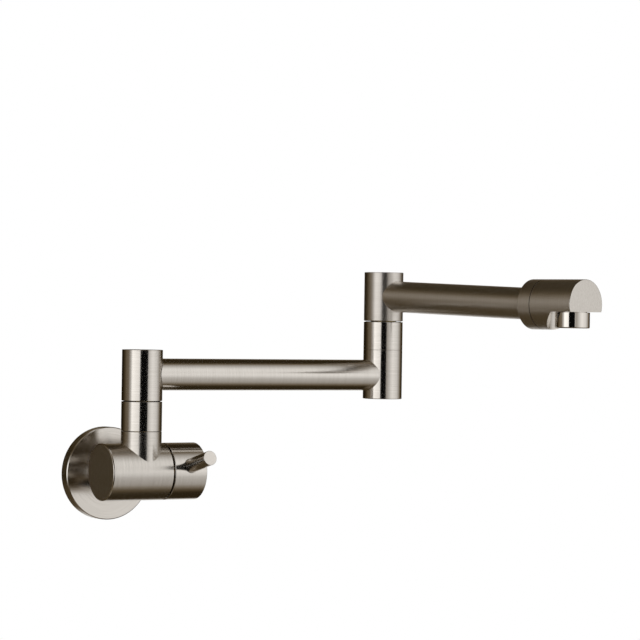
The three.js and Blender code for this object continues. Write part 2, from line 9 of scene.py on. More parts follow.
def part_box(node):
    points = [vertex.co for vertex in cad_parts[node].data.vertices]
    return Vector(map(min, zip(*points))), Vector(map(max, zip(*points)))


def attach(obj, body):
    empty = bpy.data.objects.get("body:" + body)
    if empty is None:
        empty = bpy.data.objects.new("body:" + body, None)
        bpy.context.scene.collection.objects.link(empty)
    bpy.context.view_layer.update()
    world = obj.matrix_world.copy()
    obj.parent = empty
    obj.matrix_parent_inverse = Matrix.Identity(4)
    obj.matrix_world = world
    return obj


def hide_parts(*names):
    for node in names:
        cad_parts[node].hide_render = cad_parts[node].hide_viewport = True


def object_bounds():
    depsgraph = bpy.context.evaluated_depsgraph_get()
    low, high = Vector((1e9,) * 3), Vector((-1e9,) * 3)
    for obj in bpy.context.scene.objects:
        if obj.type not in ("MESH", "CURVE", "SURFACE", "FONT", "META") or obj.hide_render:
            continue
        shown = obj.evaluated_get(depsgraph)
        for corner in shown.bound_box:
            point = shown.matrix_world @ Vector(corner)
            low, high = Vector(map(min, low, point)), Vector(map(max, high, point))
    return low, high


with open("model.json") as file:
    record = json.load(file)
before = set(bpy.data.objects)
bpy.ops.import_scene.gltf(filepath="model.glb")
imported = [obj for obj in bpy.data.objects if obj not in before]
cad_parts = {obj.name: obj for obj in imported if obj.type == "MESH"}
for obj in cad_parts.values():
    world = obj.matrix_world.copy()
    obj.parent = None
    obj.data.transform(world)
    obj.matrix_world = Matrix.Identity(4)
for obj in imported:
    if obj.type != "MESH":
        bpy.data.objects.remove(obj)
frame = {"nodes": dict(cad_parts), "record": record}
cad_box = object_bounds()

# ---------------------------------------------------------------------------------------
# Camera. The tap is seen from its left, almost level with the first arm, through a long
# lens that is held a little out of true.

photo_pixels = 640
lens_pixels = 2900.0                    # focal length, in pixels of the photograph
camera_turn = math.radians(31.0)        # to the left of straight on
camera_dip = math.radians(0.07)
camera_roll = math.radians(0.87)
camera_aim = Vector((0.14174, -0.057, 0.10961))
camera_distance = 2.0639

forward = Vector((
    math.sin(camera_turn) * math.cos(camera_dip),
    math.cos(camera_turn) * math.cos(camera_dip),
    -math.sin(camera_dip),
))
lens = bpy.data.cameras.new("camera")
lens.sensor_width = 36.0
lens.lens = lens.sensor_width * lens_pixels / photo_pixels
camera = bpy.data.objects.new("camera", lens)
camera.rotation_mode = "QUATERNION"
camera.location = camera_aim - forward * camera_distance
camera.rotation_quaternion = (
    forward.to_track_quat("-Z", "Y") @ Quaternion((0.0, 0.0, 1.0), camera_roll)
)
bpy.context.scene.collection.objects.link(camera)
bpy.context.scene.camera = camera
bpy.context.scene.view_settings.view_transform = "Standard"

# ---------------------------------------------------------------------------------------
# Studio. White surroundings, a pale floor and one soft lamp overhead. The metal sees the
# inside of a dim brown tent instead, lit beside, behind, over and under the tap, and two
# black cards that stand towards the lens.

white = (1.0, 1.0, 1.0, 1.0)
room_light = 0.75                       # plain level for everything that isn't mirrored

world = bpy.data.worlds.new("white_room")
bpy.context.scene.world = world
world.use_nodes = True
nodes = world.node_tree.nodes
links = world.node_tree.links
nodes.clear()
ray = nodes.new("ShaderNodeLightPath")
seen = nodes.new("ShaderNodeMath")
seen.operation = "MAXIMUM"
links.new(ray.outputs["Is Camera Ray"], seen.inputs[0])
links.new(ray.outputs["Is Glossy Ray"], seen.inputs[1])
shown = nodes.new("ShaderNodeMath")
shown.operation = "MAXIMUM"
links.new(seen.outputs[0], shown.inputs[0])
links.new(ray.outputs["Is Transmission Ray"], shown.inputs[1])
level = nodes.new("ShaderNodeMapRange")
level.inputs["To Min"].default_value = room_light
level.inputs["To Max"].default_value = 1.0
links.new(shown.outputs[0], level.inputs["Value"])
surroundings = nodes.new("ShaderNodeBackground")
surroundings.inputs["Color"].default_value = white
links.new(level.outputs[0], surroundings.inputs["Strength"])
links.new(surroundings.outputs[0], nodes.new("ShaderNodeOutputWorld").inputs["Surface"])

stage_centre = Vector((0.1, -0.1, 0.06))
tent_radius = 3.0
dim_level = 0.16                        # the dimmer the cloth is, the browner it looks
# Light on the tent, as (angle, level). Round from the lens, where right is positive, and
# then in height: far to the left, left of the lens, on the right, and behind the tap.
light_round = [
    (-180, 0.90), (-166, 0.75), (-150, 0.02), (-130, 0.00), (-112, 0.03), (-94, 0.09),
    (-79, 0.12), (-66, 0.44), (-53, 1.21), (-40, 1.11), (-28, 1.02), (-10, 0.90),
    (25, 0.40), (40, 0.72), (52, 1.00), (63, 1.15), (76, 1.06), (91, 0.93), (109, 0.56),
    (121, 0.20), (133, 0.03), (150, 0.02), (166, 0.75), (180, 0.90),
]
light_high_far_left = [
    (-90, 0.00), (-30, 0.10), (-18, 0.35), (-8, 0.75), (3, 1.30), (12, 1.90), (22, 1.80),
    (32, 1.00), (40, 0.40), (50, 0.05), (90, 0.00),
]
light_high_left = [
    (-90, 0.00), (-34, 0.00), (-22, 0.06), (-13, 0.50), (-5, 1.00), (6, 1.08), (13, 0.90),
    (20, 0.40), (28, 0.08), (38, 0.00), (90, 0.00),
]
light_high_right = [
    (-90, 0.00), (-62, 0.06), (-55, 0.18), (-45, 0.33), (-33, 0.39), (-22, 0.47),
    (-10, 0.66), (0, 0.78), (15, 0.74), (27, 0.76), (35, 0.74), (42, 0.66), (50, 0.50),
    (57, 0.38), (64, 0.13), (72, 0.02), (90, 0.00),
]
light_high_behind = [
    (-90, 0.00), (-34, 0.00), (-25, 0.65), (-13, 0.80), (-5, 0.05), (5, 0.03), (13, 0.12),
    (24, 0.12), (34, 0.00), (90, 0.00),
]
# Level of the cloth itself in height, on the left and on the right, then light straight
# over and under the tap, and light high and low in front of it.
cloth_left = [
    (-90, 0.040), (-20, 0.042), (-6, 0.008), (10, 0.006), (30, 0.028), (60, 0.022), (90, 0.015),
]
cloth_right = 0.018
light_overhead = [(-90, 0.15), (-80, 0.12), (-72, 0.00), (72, 0.00), (82, 0.50), (90, 0.60)]
light_high_front = [
    (-90, 0.08), (-55, 0.08), (-38, 0.00), (28, 0.00), (38, 0.02), (52, 0.15), (90, 0.15),
]
# Angles round the tent between which one light in height takes over from the next.
far_left_ends = (-84, -66)
right_starts = (2, 35)
behind_starts = (133, 150)              # to either side
front_ends = (50, 68)                   # to either side of front_middle
front_middle = -15
tent_red = (1.02, 0.50)                 # in the bright, and how much more in the dim
tent_blue = (0.97, -0.60)


def level_at(angle, light):
    """Level at an angle, with a soft step from each named point to the next."""
    for (low, level_low), (high, level_high) in zip(light, light[1:]):
        if angle <= high:
            share = (angle - low) / (high - low)
            share = share * share * (3.0 - 2.0 * share)
            return level_low + (level_high - level_low) * share
    return light[-1][1]


def share_between(angle, low, high):
    return min(max((angle - low) / (high - low), 0.0), 1.0)


def tent_colour(round_angle, height_angle):
    left = share_between(round_angle, *far_left_ends)
    right = share_between(round_angle, *right_starts)
    high = (1.0 - left) * level_at(height_angle, light_high_far_left)
    high += left * level_at(height_angle, light_high_left)
    high = (1.0 - right) * high + right * level_at(height_angle, light_high_right)
    behind = share_between(abs(round_angle), *behind_starts)
    high = (1.0 - behind) * high + behind * level_at(height_angle, light_high_behind)
    cloth = (1.0 - right) * level_at(height_angle, cloth_left) + right * cloth_right
    level = cloth + level_at(round_angle, light_round) * high
    level += level_at(height_angle, light_overhead)
    before_lens = 1.0 - share_between(abs(round_angle - front_middle), *front_ends)
    level += before_lens * level_at(height_angle, light_high_front)
    dim = math.exp(-level / dim_level)
    red = level * (tent_red[0] + tent_red[1] * dim)
    blue = level * (tent_blue[0] + tent_blue[1] * dim)
    return (red, level, blue, 1.0)


def glowing(name, colour=None):
    """Cloth or card that only the metal sees, so it gives off exactly its own colour."""
    material = bpy.data.materials.new(name)
    material.use_nodes = True
    material.cycles.emission_sampling = "NONE"
    tree = material.node_tree
    tree.nodes.clear()
    glow = tree.nodes.new("ShaderNodeEmission")
    if colour is None:
        cloth = tree.nodes.new("ShaderNodeAttribute")
        cloth.attribute_name = "cloth"
        tree.links.new(cloth.outputs["Color"], glow.inputs["Color"])
    else:
        glow.inputs["Color"].default_value = colour
    output = tree.nodes.new("ShaderNodeOutputMaterial")
    tree.links.new(glow.outputs[0], output.inputs["Surface"])
    return material


def only_mirrored(panel):
    """The panel shows in the metal, and neither in the picture nor as a shadow."""
    panel.visible_camera = False
    panel.visible_diffuse = False
    panel.visible_shadow = False
    panel.visible_transmission = False
    panel.visible_volume_scatter = False


tent_mesh = bpy.data.meshes.new("studio_tent")
shell = bmesh.new()
bmesh.ops.create_uvsphere(shell, u_segments=144, v_segments=72, radius=tent_radius)
shell.to_mesh(tent_mesh)
shell.free()
tent_mesh.shade_smooth()
towards_lens = math.atan2(-forward.y, -forward.x)
cloth = tent_mesh.color_attributes.new("cloth", "FLOAT_COLOR", "POINT")
for vertex in tent_mesh.vertices:
    direction = vertex.co.normalized()
    round_angle = math.degrees(math.atan2(direction.y, direction.x) - towards_lens)
    round_angle = (round_angle + 180.0) % 360.0 - 180.0
    height_angle = math.degrees(math.asin(max(-1.0, min(1.0, direction.z))))
    cloth.data[vertex.index].color = tent_colour(round_angle, height_angle)
tent_mesh.materials.append(glowing("tent_cloth"))
tent = bpy.data.objects.new("studio_tent", tent_mesh)
tent.location = stage_centre
bpy.context.scene.collection.objects.link(tent)
only_mirrored(tent)

black_card = glowing("black_card", (0.003, 0.003, 0.003, 1.0))
across = Vector((forward.y, -forward.x, 0.0)).normalized()
first_swivel = Vector((0.0, -0.057, 0.0))
card_foot = -0.6
card_top = 0.9


def lens_card(name, distance, left, right):
    """Black card that stands upright this far from the first swivel, towards the lens."""
    middle = first_swivel - Vector((forward.x, forward.y, 0.0)) * distance
    mesh = bpy.data.meshes.new(name)
    mesh.from_pydata([
        middle + across * side + Vector((0.0, 0.0, height))
        for side, height in (
            (left, card_foot), (right, card_foot), (right, card_top), (left, card_top))
    ], [], [(0, 1, 2, 3)])
    mesh.materials.append(black_card)
    card = bpy.data.objects.new(name, mesh)
    bpy.context.scene.collection.objects.link(card)
    only_mirrored(card)


lens_card("near_card", distance=0.52, left=0.02, right=0.392)
lens_card("far_card", distance=1.53, left=-0.21, right=0.12)

floor_drop = 0.27                       # below the lowest point of the tap
floor_size = 2.0
floor_mesh = bpy.data.meshes.new("floor")
slab = bmesh.new()
bmesh.ops.create_grid(slab, x_segments=8, y_segments=8, size=floor_size / 2)
slab.to_mesh(floor_mesh)
slab.free()
floor_paint = bpy.data.materials.new("floor_paint")
floor_paint.use_nodes = True
floor_shader = floor_paint.node_tree.nodes["Principled BSDF"]
floor_shader.inputs["Base Color"].default_value = (0.86, 0.86, 0.85, 1.0)
floor_shader.inputs["Roughness"].default_value = 0.7
# The floor is see-through from below, so that it never hides the tap.
floor_tree = floor_paint.node_tree
under_side = floor_tree.nodes.new("ShaderNodeNewGeometry")
see_through = floor_tree.nodes.new("ShaderNodeBsdfTransparent")
one_sided = floor_tree.nodes.new("ShaderNodeMixShader")
floor_tree.links.new(under_side.outputs["Backfacing"], one_sided.inputs["Fac"])
floor_tree.links.new(floor_shader.outputs[0], one_sided.inputs[1])
floor_tree.links.new(see_through.outputs[0], one_sided.inputs[2])
floor_tree.links.new(
    one_sided.outputs[0], floor_tree.nodes["Material Output"].inputs["Surface"])
floor_mesh.materials.append(floor_paint)
floor = bpy.data.objects.new("floor", floor_mesh)
floor.location = (stage_centre.x, stage_centre.y, cad_box[0].z - floor_drop)
floor.visible_glossy = False
bpy.context.scene.collection.objects.link(floor)

lamp_offset = Vector((-0.5, -0.7, 1.5))  # from the middle of the stage
lamp = bpy.data.lights.new("soft_lamp", "AREA")
lamp.shape = "DISK"
lamp.size = 1.2
lamp.energy = 14.0
lamp_holder = bpy.data.objects.new("soft_lamp", lamp)
lamp_holder.location = stage_centre + lamp_offset
lamp_holder.rotation_mode = "QUATERNION"
lamp_holder.rotation_quaternion = (
    (stage_centre - lamp_holder.location).to_track_quat("-Z", "Y")
)
lamp_holder.visible_glossy = False
bpy.context.scene.collection.objects.link(lamp_holder)

# ---------------------------------------------------------------------------------------
# Wall flange. A turned and brushed nickel cover plate with a small chamfer, hollow behind,
# pushed over the neck of the valve until its ring meets the wall.

mm = 0.001
turning_steps = 144                     # sides of a turned piece
edge_steps = 4                          # sides of a rounded edge

nickel_colour = (0.810, 0.780, 0.745, 1.0)
nickel_shadow = (0.735, 0.705, 0.665, 1.0)
nickel_roughness = 0.17
grain_length = 45.0                     # per metre round the piece
grain_fineness = 2600.0                 # per metre across the grain
grain_detail = 3.0
grain_low = 0.3                         # range of the noise that the grain is made from
grain_high = 0.7
grain_roughness = 0.03                  # how far the grain makes it rougher or smoother
ridge_height = 0.008 * mm
# Lighter nickel for the rounded edges: partly real wear, partly a painted highlight along every
# edge.
worn_highlight_colour = (0.860, 0.835, 0.800, 1.0)
worn_patches = 180.0                    # per metre
worn_low = 0.35                         # range of the noise that the patches are made from
worn_high = 0.65
unworn_roughness = 0.22
worn_roughness = 0.10


def brushed_nickel(name, axis, centre=(0.0, 0.0, 0.0),
                   roughness=nickel_roughness, stretched=0.6, ridge=0.12):
    """Nickel brushed while the piece turned, so its fine grain runs round an axis."""
    material = bpy.data.materials.new(name)
    material.use_nodes = True
    nodes = material.node_tree.nodes
    links = material.node_tree.links
    shader = nodes["Principled BSDF"]
    shader.inputs["Metallic"].default_value = 1.0
    shader.inputs["Anisotropic"].default_value = stretched
    shader.inputs["Anisotropic Rotation"].default_value = 0.25     # a quarter turn

    place = nodes.new("ShaderNodeTexCoord")
    from_axis = nodes.new("ShaderNodeVectorMath")
    from_axis.operation = "SUBTRACT"
    from_axis.inputs[1].default_value = centre
    links.new(place.outputs["Object"], from_axis.inputs[0])
    split = nodes.new("ShaderNodeSeparateXYZ")
    links.new(from_axis.outputs[0], split.inputs[0])
    order = {"X": ("Y", "Z", "X"), "Y": ("Z", "X", "Y"), "Z": ("X", "Y", "Z")}[axis]
    first, second, along = (split.outputs[letter] for letter in order)

    flat = nodes.new("ShaderNodeCombineXYZ")
    links.new(first, flat.inputs[0])
    links.new(second, flat.inputs[1])
    radius = nodes.new("ShaderNodeVectorMath")
    radius.operation = "LENGTH"
    links.new(flat.outputs[0], radius.inputs[0])
    ring = nodes.new("ShaderNodeMath")
    ring.operation = "ADD"
    links.new(along, ring.inputs[0])
    links.new(radius.outputs["Value"], ring.inputs[1])

    back = nodes.new("ShaderNodeMath")
    back.operation = "MULTIPLY"
    back.inputs[1].default_value = -1.0
    links.new(second, back.inputs[0])
    round_piece = nodes.new("ShaderNodeCombineXYZ")
    links.new(back.outputs[0], round_piece.inputs["XYZ".index(order[0])])
    links.new(first, round_piece.inputs["XYZ".index(order[1])])
    tangent = nodes.new("ShaderNodeVectorTransform")
    tangent.vector_type = "VECTOR"
    tangent.convert_from = "OBJECT"
    tangent.convert_to = "WORLD"
    links.new(round_piece.outputs[0], tangent.inputs[0])
    links.new(tangent.outputs[0], shader.inputs["Tangent"])

    grain_place = nodes.new("ShaderNodeCombineXYZ")
    links.new(first, grain_place.inputs[0])
    links.new(second, grain_place.inputs[1])
    links.new(ring.outputs[0], grain_place.inputs[2])
    stretch = nodes.new("ShaderNodeVectorMath")
    stretch.operation = "MULTIPLY"
    stretch.inputs[1].default_value = (grain_length, grain_length, grain_fineness)
    links.new(grain_place.outputs[0], stretch.inputs[0])
    grain = nodes.new("ShaderNodeTexNoise")
    grain.inputs["Scale"].default_value = 1.0
    grain.inputs["Detail"].default_value = grain_detail
    links.new(stretch.outputs[0], grain.inputs["Vector"])
    return add_grain(material, shader, grain.outputs[0], roughness, ridge)


def add_grain(material, shader, grain, roughness, ridge):
    """Grain in the colour, the roughness and the surface of the nickel."""
    nodes = material.node_tree.nodes
    links = material.node_tree.links
    tint = nodes.new("ShaderNodeMix")
    tint.data_type = "RGBA"
    tint.inputs["A"].default_value = nickel_shadow
    tint.inputs["B"].default_value = nickel_colour
    spread = nodes.new("ShaderNodeMapRange")
    spread.inputs["From Min"].default_value = grain_low
    spread.inputs["From Max"].default_value = grain_high
    links.new(grain, spread.inputs["Value"])
    links.new(spread.outputs[0], tint.inputs["Factor"])
    links.new(tint.outputs["Result"], shader.inputs["Base Color"])
    rough = nodes.new("ShaderNodeMapRange")
    rough.inputs["From Min"].default_value = grain_low
    rough.inputs["From Max"].default_value = grain_high
    rough.inputs["To Min"].default_value = roughness + grain_roughness
    rough.inputs["To Max"].default_value = roughness - grain_roughness
    links.new(grain, rough.inputs["Value"])
    links.new(rough.outputs[0], shader.inputs["Roughness"])
    ridges = nodes.new("ShaderNodeBump")
    ridges.inputs["Strength"].default_value = ridge
    ridges.inputs["Distance"].default_value = ridge_height
    links.new(grain, ridges.inputs["Height"])
    links.new(ridges.outputs[0], shader.inputs["Normal"])
    return material


def worn_highlit_nickel(name):
    """Nickel on a rounded edge, rubbed bright in patches by hands and cloths, its colour
    painted lighter than the rest as a painted highlight along the edge.
    """
    material = bpy.data.materials.new(name)
    material.use_nodes = True
    nodes = material.node_tree.nodes
    links = material.node_tree.links
    shader = nodes["Principled BSDF"]
    shader.inputs["Metallic"].default_value = 1.0
    place = nodes.new("ShaderNodeTexCoord")
    patches = nodes.new("ShaderNodeTexNoise")
    patches.inputs["Scale"].default_value = worn_patches
    patches.inputs["Detail"].default_value = 4.0
    links.new(place.outputs["Object"], patches.inputs["Vector"])
    rubbed = nodes.new("ShaderNodeMapRange")
    rubbed.inputs["From Min"].default_value = worn_low
    rubbed.inputs["From Max"].default_value = worn_high
    rubbed.inputs["To Min"].default_value = unworn_roughness
    rubbed.inputs["To Max"].default_value = worn_roughness
    links.new(patches.outputs[0], rubbed.inputs["Value"])
    links.new(rubbed.outputs[0], shader.inputs["Roughness"])
    tint = nodes.new("ShaderNodeMix")
    tint.data_type = "RGBA"
    tint.inputs["A"].default_value = nickel_colour
    tint.inputs["B"].default_value = worn_highlight_colour
    links.new(patches.outputs[0], tint.inputs["Factor"])
    links.new(tint.outputs["Result"], shader.inputs["Base Color"])
    return material


highlit_worn_edge = worn_highlit_nickel("nickel_worn_highlit_edge")
nickel_round = brushed_nickel("nickel_brushed_round_z", "Z")
nickel_turned = brushed_nickel("nickel_turned_face", "Z", roughness=0.15, stretched=0.8)


def rounded_outline(corners, closed):
    """Points of an outline of (radius, height, edge) corners, each rounded by its edge.

    With each point goes whether the outline runs on from it along a rounded edge.
    """
    points = []
    count = len(corners)
    for i, (radius, height, edge) in enumerate(corners):
        here = Vector((radius, height))
        if edge <= 0 or (not closed and i in (0, count - 1)):
            points.append((here, False))
            continue
        before = Vector(corners[i - 1][:2]) - here
        after = Vector(corners[(i + 1) % count][:2]) - here
        half = before.angle(after) / 2
        reach = min(edge / math.tan(half), 0.49 * before.length, 0.49 * after.length)
        real_edge = reach * math.tan(half)
        start = here + before.normalized() * reach
        end = here + after.normalized() * reach
        middle = here + (before.normalized() + after.normalized()).normalized() * (
            real_edge / math.sin(half))
        first = start - middle
        sweep = first.angle_signed(end - middle)
        for step in range(edge_steps + 1):
            turn = Matrix.Rotation(-sweep * step / edge_steps, 2)
            points.append((middle + turn @ first, step < edge_steps))
    return points


def turned(name, corners, closed=False, steps=turning_steps):
    """Piece turned about its own Z from an outline of (radius, height, edge) in mm."""
    mesh = bpy.data.meshes.new(name)
    shape = bmesh.new()
    rings = []
    outline = rounded_outline(corners, closed)
    for (radius, height), _ in outline:
        if radius < 1e-6:
            rings.append([shape.verts.new((0.0, 0.0, height * mm))])
            continue
        rings.append([
            shape.verts.new((
                radius * mm * math.cos(2 * math.pi * i / steps),
                radius * mm * math.sin(2 * math.pi * i / steps),
                height * mm,
            ))
            for i in range(steps)
        ])
    bands = list(zip(rings, rings[1:])) + ([(rings[-1], rings[0])] if closed else [])
    for (low, high), (_, on_edge) in zip(bands, outline):
        for i in range(steps):
            j = (i + 1) % steps
            corner = [
                low[i % len(low)], low[j % len(low)],
                high[j % len(high)], high[i % len(high)],
            ]
            face = shape.faces.new(list(dict.fromkeys(corner)))
            face.material_index = int(on_edge)
    bmesh.ops.recalc_face_normals(shape, faces=shape.faces[:])
    shape.to_mesh(mesh)
    shape.free()
    piece = bpy.data.objects.new(name, mesh)
    bpy.context.scene.collection.objects.link(piece)
    return piece


def stand(piece, foot, along):
    """Puts a turned piece with its own origin at foot and its own Z along a direction."""
    way = Vector(along).to_track_quat("Z", "Y")
    piece.matrix_world = Matrix.Translation(foot) @ way.to_matrix().to_4x4()
    bpy.context.view_layer.update()
    return piece


def coat(piece, side, face=None, facing=0.97):
    """Side material all over, the worn edge with its painted highlight, and the face where the
    piece is flat across.
    """
    on_edge = [polygon.material_index == 1 for polygon in piece.data.polygons]
    piece.data.materials.clear()
    for material in (side, highlit_worn_edge, face or side):
        piece.data.materials.append(material)
    for polygon, worn in zip(piece.data.polygons, on_edge):
        polygon.material_index = 1 if worn else 2 * int(abs(polygon.normal.z) > facing)
    return piece


def smooth(piece, angle=35.0, seams=False):
    """Smooth turned surfaces, with their real edges and, if asked, their seams kept crisp."""
    piece.data.shade_smooth()
    piece.data.set_sharp_from_angle(angle=math.radians(angle))
    if seams:
        shape = bmesh.new()
        shape.from_mesh(piece.data)
        for edge in shape.edges:
            if len({face.material_index for face in edge.link_faces}) > 1:
                edge.smooth = False
        shape.to_mesh(piece.data)
        shape.free()
    weighted = piece.modifiers.new("even_shading", "WEIGHTED_NORMAL")
    weighted.keep_sharp = True
    weighted.weight = 100


def belongs(piece, body, finish, *nodes_stood_for):
    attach(piece, body)
    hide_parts(*nodes_stood_for)


flange_low, flange_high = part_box("wall_flange")
flange_radius = (flange_high.x - flange_low.x) / 2 / mm
flange_depth = -flange_low.y / mm
flange_chamfer = 0.6
flange_rim = flange_radius - 2.7        # inside of the ring that meets the wall
flange_back = flange_depth - 2.0        # behind the plate
hub_bore = 13.8
hub_radius = 17.0
hub_foot = 1.5
flange = turned("wall_flange_plate", [
    (flange_rim, 0.0, 0.2), (flange_radius, 0.0, 0.2),
    (flange_radius, flange_depth - flange_chamfer, 0.2),
    (flange_radius - flange_chamfer, flange_depth, 0.2),
    (hub_bore, flange_depth, 0.2), (hub_bore, hub_foot, 0.2), (hub_radius, hub_foot, 0.3),
    (hub_radius, flange_back, 0.5), (flange_rim, flange_back, 0.6),
], closed=True, steps=192)
coat(flange, nickel_round, nickel_turned)
stand(flange, (0.0, 0.0, 0.0), (0.0, -1.0, 0.0))
smooth(flange)
belongs(flange, "valve", "brushed_nickel", "wall_flange")

# ---------------------------------------------------------------------------------------
# Valve body. Barrel, riser and neck are one casting, machined and brushed all over. The
# riser stands almost flush with the barrel's front and meets it in a sharp seam.

knob_corner_low, knob_corner_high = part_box("knob_shell")
barrel_y = (knob_corner_low.y + knob_corner_high.y) / 2
barrel_z = (knob_corner_low.z + knob_corner_high.z) / 2
barrel_radius = (knob_corner_high.z - knob_corner_low.z) / 2 / mm
barrel_left = -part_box("valve_body")[0].x / mm
barrel_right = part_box("valve_body")[1].x / mm
collar_one_low, collar_one_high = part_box("collar_1")
riser_y = (collar_one_low.y + collar_one_high.y) / 2
riser_seam = 0.3                        # between the riser and the collar on it
riser_top = (collar_one_low.z - barrel_z) / mm - riser_seam
riser_forward = (barrel_y - riser_y) / mm
column_radius = (collar_one_high.x - collar_one_low.x) / 2 / mm
neck_from_wall = 1.5
neck_length = -barrel_y / mm - neck_from_wall
valve_centre = Vector((0.0, barrel_y, barrel_z))
riser_foot = Vector((0.0, riser_y, barrel_z))
neck_foot = Vector((0.0, barrel_y, 0.0))

neck_radius = 13.5
cartridge_radius = 12.0
cartridge_floor = -14.0
nut_room_radius = 15.3
nut_room_floor = 8.0
post_bore = 9.3
post_depth = 14.0
inlet_bore = 10.5
inlet_depth = 15.6
cut_past = 1.0                          # how far each tool runs past the casting
satin_roughness = 0.24
flat_grain_length = 700.0               # per metre along the grain of a flat face
flat_ridge = 0.12


def flat_nickel(name, roughness):
    """Nickel faced off flat and rubbed down, with a short even grain in one direction."""
    material = bpy.data.materials.new(name)
    material.use_nodes = True
    nodes = material.node_tree.nodes
    links = material.node_tree.links
    shader = nodes["Principled BSDF"]
    shader.inputs["Metallic"].default_value = 1.0
    place = nodes.new("ShaderNodeTexCoord")
    stretch = nodes.new("ShaderNodeVectorMath")
    stretch.operation = "MULTIPLY"
    stretch.inputs[1].default_value = (flat_grain_length, grain_fineness, flat_grain_length)
    links.new(place.outputs["Object"], stretch.inputs[0])
    grain = nodes.new("ShaderNodeTexNoise")
    grain.inputs["Scale"].default_value = 1.0
    grain.inputs["Detail"].default_value = grain_detail
    links.new(stretch.outputs[0], grain.inputs["Vector"])
    return add_grain(material, shader, grain.outputs[0], roughness, flat_ridge)


def machine(piece, tool, operation="DIFFERENCE"):
    """Cuts the tool's shape out of a piece, or joins it on, and takes the tool away."""
    step = piece.modifiers.new("machine", "BOOLEAN")
    step.operation = operation
    step.solver = "EXACT"
    step.material_mode = "TRANSFER"
    step.object = tool
    graph = bpy.context.evaluated_depsgraph_get()
    cut = bpy.data.meshes.new_from_object(piece.evaluated_get(graph), depsgraph=graph)
    piece.modifiers.clear()
    piece.data = cut
    bpy.data.objects.remove(tool)


nickel_barrel = brushed_nickel(
    "nickel_satin_barrel", "X", (0.0, riser_forward * mm, 0.0), satin_roughness)
nickel_riser = brushed_nickel(
    "nickel_satin_riser", "Z", roughness=satin_roughness, stretched=0.35, ridge=0.06)
nickel_neck = brushed_nickel("nickel_satin_neck", "Y", (0.0, 0.0, -barrel_z), satin_roughness)
nickel_rubbed = flat_nickel("nickel_rubbed_face", roughness=0.34)

valve = turned("valve_casting", [
    (0.0, 0.0, 0.0), (column_radius, 0.0, 0.0), (column_radius, riser_top, 0.25),
    (0.0, riser_top, 0.0),
], steps=192)
coat(valve, nickel_riser)
valve.matrix_world = Matrix.Translation(riser_foot)

barrel = turned("barrel", [
    (0.0, -barrel_left, 0.0), (barrel_radius, -barrel_left, 0.9),
    (barrel_radius, barrel_right, 0.35), (0.0, barrel_right, 0.0),
], steps=256)
coat(barrel, nickel_barrel)
stand(barrel, valve_centre, (1.0, 0.0, 0.0))
machine(valve, barrel, "UNION")
neck = turned("neck", [
    (0.0, 0.0, 0.0), (neck_radius, 0.0, 0.0), (neck_radius, neck_length, 0.3),
    (0.0, neck_length, 0.0),
])
coat(neck, nickel_neck)
stand(neck, neck_foot, (0.0, 1.0, 0.0))
machine(valve, neck, "UNION")

cartridge_room = turned("cartridge_room", [
    (0.0, cartridge_floor, 0.0), (cartridge_radius, cartridge_floor, 0.0),
    (cartridge_radius, nut_room_floor, 0.0), (nut_room_radius, nut_room_floor, 0.0),
    (nut_room_radius, barrel_right + cut_past, 0.0), (0.0, barrel_right + cut_past, 0.0),
])
coat(cartridge_room, nickel_barrel)
machine(valve, stand(cartridge_room, valve_centre, (1.0, 0.0, 0.0)))
post_room = turned("post_room", [
    (0.0, riser_top - post_depth, 0.0), (post_bore, riser_top - post_depth, 0.0),
    (post_bore, riser_top + cut_past, 0.0), (0.0, riser_top + cut_past, 0.0),
])
coat(post_room, nickel_riser)
machine(valve, stand(post_room, riser_foot, (0.0, 0.0, 1.0)))
inlet_room = turned("inlet_room", [
    (0.0, neck_length - inlet_depth, 0.0), (inlet_bore, neck_length - inlet_depth, 0.0),
    (inlet_bore, neck_length + cut_past, 0.0), (0.0, neck_length + cut_past, 0.0),
])
coat(inlet_room, nickel_neck)
machine(valve, stand(inlet_room, neck_foot, (0.0, 1.0, 0.0)))
end_face = len(valve.data.materials)
valve.data.materials.append(nickel_rubbed)
for polygon in valve.data.polygons:
    if polygon.normal.x < -0.99 and polygon.center.x < -0.9 * barrel_left * mm:
        polygon.material_index = end_face
smooth(valve, seams=True)
belongs(valve, "valve", "brushed_nickel", "valve_body")

# ---------------------------------------------------------------------------------------
# Knob and lever. The knob is the turning end of the barrel, behind a thin dark seam. The
# lever is a plain rod that stands in a flat seat in the knob and is screwed down into it.

knob_low, knob_high = (corner.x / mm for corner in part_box("knob_shell"))
lever_rise = math.radians(13.9)
lever_way = Vector((0.0, -math.cos(lever_rise), math.sin(lever_rise)))
lever_at = (knob_low + knob_high) / 2
lever_reach = 47.0                      # barrel's axis to the lever's end
lever_radius = 5.0
lever_shoulder = 16.9                   # where the rod narrows to its thread
lever_thread_radius = 2.7
lever_thread_end = 7.6
knob_end = knob_high - 4.2              # inside of the knob's end
knob_step = knob_low + 6.0
knob_hollow = 16.4
stem_bore = 4.3
seat_radius = 5.15
seat_floor = 16.6
thread_hole_radius = 3.0
thread_hole_floor = 7.3
thread_hole_top = 17.0
screw_hole_radius = 2.25
screw_hole_floor = 4.0
outside_knob = 24.0

nickel_faced = flat_nickel("nickel_faced", roughness=nickel_roughness)
nickel_rod = brushed_nickel(
    "nickel_turned_rod", "Z", roughness=0.15, stretched=0.2, ridge=0.0)

